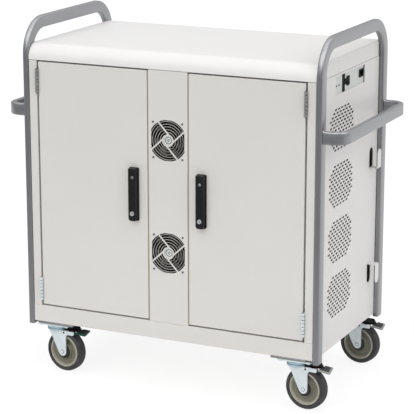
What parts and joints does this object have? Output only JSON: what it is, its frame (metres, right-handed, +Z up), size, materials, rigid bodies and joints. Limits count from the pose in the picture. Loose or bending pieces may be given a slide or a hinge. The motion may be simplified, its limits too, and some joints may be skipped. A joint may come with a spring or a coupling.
{
  "type": "laptop charging cart",
  "caption": "Steel cabinet on braked swivel casters with lockable double doors, ventilated sides, cooling fans, laptop racks, a power bay and tube push handles for charging and moving laptops.",
  "frame": {"origin": "on the floor under the middle of the whole cart, latch levers and rear lock included", "axes": "+Z up, -Y towards the front with the double doors, +X towards the side with the power panel"},
  "size_m": [1.06, 0.5446, 1.06],
  "materials": {
    "white_paint": "fine textured powder coat",
    "lid_paint": "smooth satin powder coat",
    "silver_paint": "silver-grey metallic paint",
    "panel_paint": "satin",
    "rack_plastic": "moulded",
    "black_plastic": "moulded",
    "green_plastic": "moulded",
    "zinc_plate": "zinc plated",
    "bright_steel": "bright",
    "wheel_rubber": "grey non-marking tread on a taupe core"
  },
  "bodies": {
    "cabinet": {"base_tray": "white_paint", "left_side_panel": "white_paint", "right_side_panel": "white_paint", "centre_column": "white_paint", "power_bay_wall": "white_paint", "lid": "lid_paint", "left_end_frame": "silver_paint", "right_end_frame": "silver_paint", "left_push_handle": "silver_paint", "right_push_handle": "silver_paint", "left_lower_rack": "rack_plastic", "left_upper_rack": "rack_plastic", "right_lower_rack": "rack_plastic", "right_upper_rack": "rack_plastic", "left_outlet_strip": "black_plastic", "right_outlet_strip": "black_plastic", "power_panel": "panel_paint", "mains_inlet": "black_plastic", "switch_housing": "black_plastic", "upper_fan_frame": "black_plastic", "lower_fan_frame": "black_plastic", "left_upper_hinge": "zinc_plate", "left_lower_hinge": "zinc_plate", "right_upper_hinge": "zinc_plate", "right_lower_hinge": "zinc_plate", "front_left_caster_plate": "zinc_plate", "front_right_caster_plate": "zinc_plate", "rear_left_caster_plate": "zinc_plate", "rear_right_caster_plate": "zinc_plate"},
    "left_door": {"left_door": "white_paint", "left_latch_base": "black_plastic"},
    "left_latch": {"left_latch_lever": "black_plastic", "left_latch_cam": "zinc_plate"},
    "left_key": {"left_key_cylinder": "bright_steel"},
    "right_door": {"right_door": "white_paint", "right_latch_base": "black_plastic"},
    "right_latch": {"right_latch_lever": "black_plastic", "right_latch_cam": "zinc_plate"},
    "right_key": {"right_key_cylinder": "bright_steel"},
    "rear_door": {"rear_door": "white_paint"},
    "rear_key": {"rear_key_cylinder": "bright_steel"},
    "upper_fan": {"upper_fan_impeller": "black_plastic"},
    "lower_fan": {"lower_fan_impeller": "black_plastic"},
    "rocker": {"rocker_switch": "black_plastic"},
    "front_left_caster": {"front_left_fork": "zinc_plate", "front_left_axle": "bright_steel"},
    "front_left_wheel": {"front_left_wheel": "wheel_rubber"},
    "front_left_brake": {"front_left_brake_pedal": "green_plastic"},
    "front_right_caster": {"front_right_fork": "zinc_plate", "front_right_axle": "bright_steel"},
    "front_right_wheel": {"front_right_wheel": "wheel_rubber"},
    "front_right_brake": {"front_right_brake_pedal": "black_plastic"},
    "rear_left_caster": {"rear_left_fork": "zinc_plate", "rear_left_axle": "bright_steel"},
    "rear_left_wheel": {"rear_left_wheel": "wheel_rubber"},
    "rear_left_brake": {"rear_left_brake_pedal": "black_plastic"},
    "rear_right_caster": {"rear_right_fork": "zinc_plate", "rear_right_axle": "bright_steel"},
    "rear_right_wheel": {"rear_right_wheel": "wheel_rubber"},
    "rear_right_brake": {"rear_right_brake_pedal": "black_plastic"}
  },
  "joints": [
    {"name": "left_door_swing", "type": "hinge", "parent": "cabinet", "child": "left_door", "pos_m": [-0.4168, -0.2572, 0.574], "axis": [0, 0, -1], "range_deg": [0, 170]},
    {"name": "right_door_swing", "type": "hinge", "parent": "cabinet", "child": "right_door", "pos_m": [0.4168, -0.2572, 0.574], "axis": [0, 0, 1], "range_deg": [0, 170]},
    {"name": "rear_door_swing", "type": "hinge", "parent": "cabinet", "child": "rear_door", "pos_m": [-0.4285, 0.259, 0.574], "axis": [0, 0, 1], "range_deg": [0, 110]},
    {"name": "left_latch_turn", "type": "hinge", "parent": "left_door", "child": "left_latch", "pos_m": [-0.1058, -0.252, 0.63], "axis": [0, 1, 0], "range_deg": [0, 90]},
    {"name": "right_latch_turn", "type": "hinge", "parent": "right_door", "child": "right_latch", "pos_m": [0.1058, -0.252, 0.63], "axis": [0, -1, 0], "range_deg": [0, 90]},
    {"name": "left_key_turn", "type": "hinge", "parent": "left_latch", "child": "left_key", "pos_m": [-0.1058, -0.266, 0.524], "axis": [0, 1, 0], "range_deg": [0, 90]},
    {"name": "right_key_turn", "type": "hinge", "parent": "right_latch", "child": "right_key", "pos_m": [0.1058, -0.266, 0.524], "axis": [0, 1, 0], "range_deg": [0, 90]},
    {"name": "rear_key_turn", "type": "hinge", "parent": "rear_door", "child": "rear_key", "pos_m": [0.4085, 0.268, 0.574], "axis": [0, 1, 0], "range_deg": [0, 90]},
    {"name": "upper_fan_spin", "type": "hinge", "parent": "cabinet", "child": "upper_fan", "pos_m": [0, -0.238, 0.743], "axis": [0, 1, 0], "continuous": true},
    {"name": "lower_fan_spin", "type": "hinge", "parent": "cabinet", "child": "lower_fan", "pos_m": [0, -0.238, 0.415], "axis": [0, 1, 0], "continuous": true},
    {"name": "rocker_tilt", "type": "hinge", "parent": "cabinet", "child": "rocker", "pos_m": [0.441, -0.014, 0.91], "axis": [0, 1, 0], "range_deg": [0, 12]},
    {"name": "front_left_caster_swivel", "type": "hinge", "parent": "cabinet", "child": "front_left_caster", "pos_m": [-0.387, -0.21, 0.138], "axis": [0, 0, 1], "continuous": true},
    {"name": "front_left_wheel_spin", "type": "hinge", "parent": "front_left_caster", "child": "front_left_wheel", "pos_m": [-0.35927, -0.2139, 0.0625], "axis": [0.1392, 0.9903, 0], "continuous": true},
    {"name": "front_left_brake_press", "type": "hinge", "parent": "front_left_caster", "child": "front_left_brake", "pos_m": [-0.33154, -0.21779, 0.13], "axis": [0.1392, 0.9903, 0], "range_deg": [0, 12]},
    {"name": "front_right_caster_swivel", "type": "hinge", "parent": "cabinet", "child": "front_right_caster", "pos_m": [0.387, -0.21, 0.138], "axis": [0, 0, 1], "continuous": true},
    {"name": "front_right_wheel_spin", "type": "hinge", "parent": "front_right_caster", "child": "front_right_wheel", "pos_m": [0.41473, -0.2139, 0.0625], "axis": [0.1392, 0.9903, 0], "continuous": true},
    {"name": "front_right_brake_press", "type": "hinge", "parent": "front_right_caster", "child": "front_right_brake", "pos_m": [0.44245, -0.21779, 0.13], "axis": [0.1392, 0.9903, 0], "range_deg": [0, 12]},
    {"name": "rear_left_caster_swivel", "type": "hinge", "parent": "cabinet", "child": "rear_left_caster", "pos_m": [-0.387, 0.226, 0.138], "axis": [0, 0, 1], "continuous": true},
    {"name": "rear_left_wheel_spin", "type": "hinge", "parent": "rear_left_caster", "child": "rear_left_wheel", "pos_m": [-0.35927, 0.2221, 0.0625], "axis": [0.1392, 0.9903, 0], "continuous": true},
    {"name": "rear_left_brake_press", "type": "hinge", "parent": "rear_left_caster", "child": "rear_left_brake", "pos_m": [-0.33154, 0.21821, 0.13], "axis": [0.1392, 0.9903, 0], "range_deg": [0, 12]},
    {"name": "rear_right_caster_swivel", "type": "hinge", "parent": "cabinet", "child": "rear_right_caster", "pos_m": [0.387, 0.226, 0.138], "axis": [0, 0, 1], "continuous": true},
    {"name": "rear_right_wheel_spin", "type": "hinge", "parent": "rear_right_caster", "child": "rear_right_wheel", "pos_m": [0.41473, 0.2221, 0.0625], "axis": [0.1392, 0.9903, 0], "continuous": true},
    {"name": "rear_right_brake_press", "type": "hinge", "parent": "rear_right_caster", "child": "rear_right_brake", "pos_m": [0.44245, 0.21821, 0.13], "axis": [0.1392, 0.9903, 0], "range_deg": [0, 12]}
  ]
}
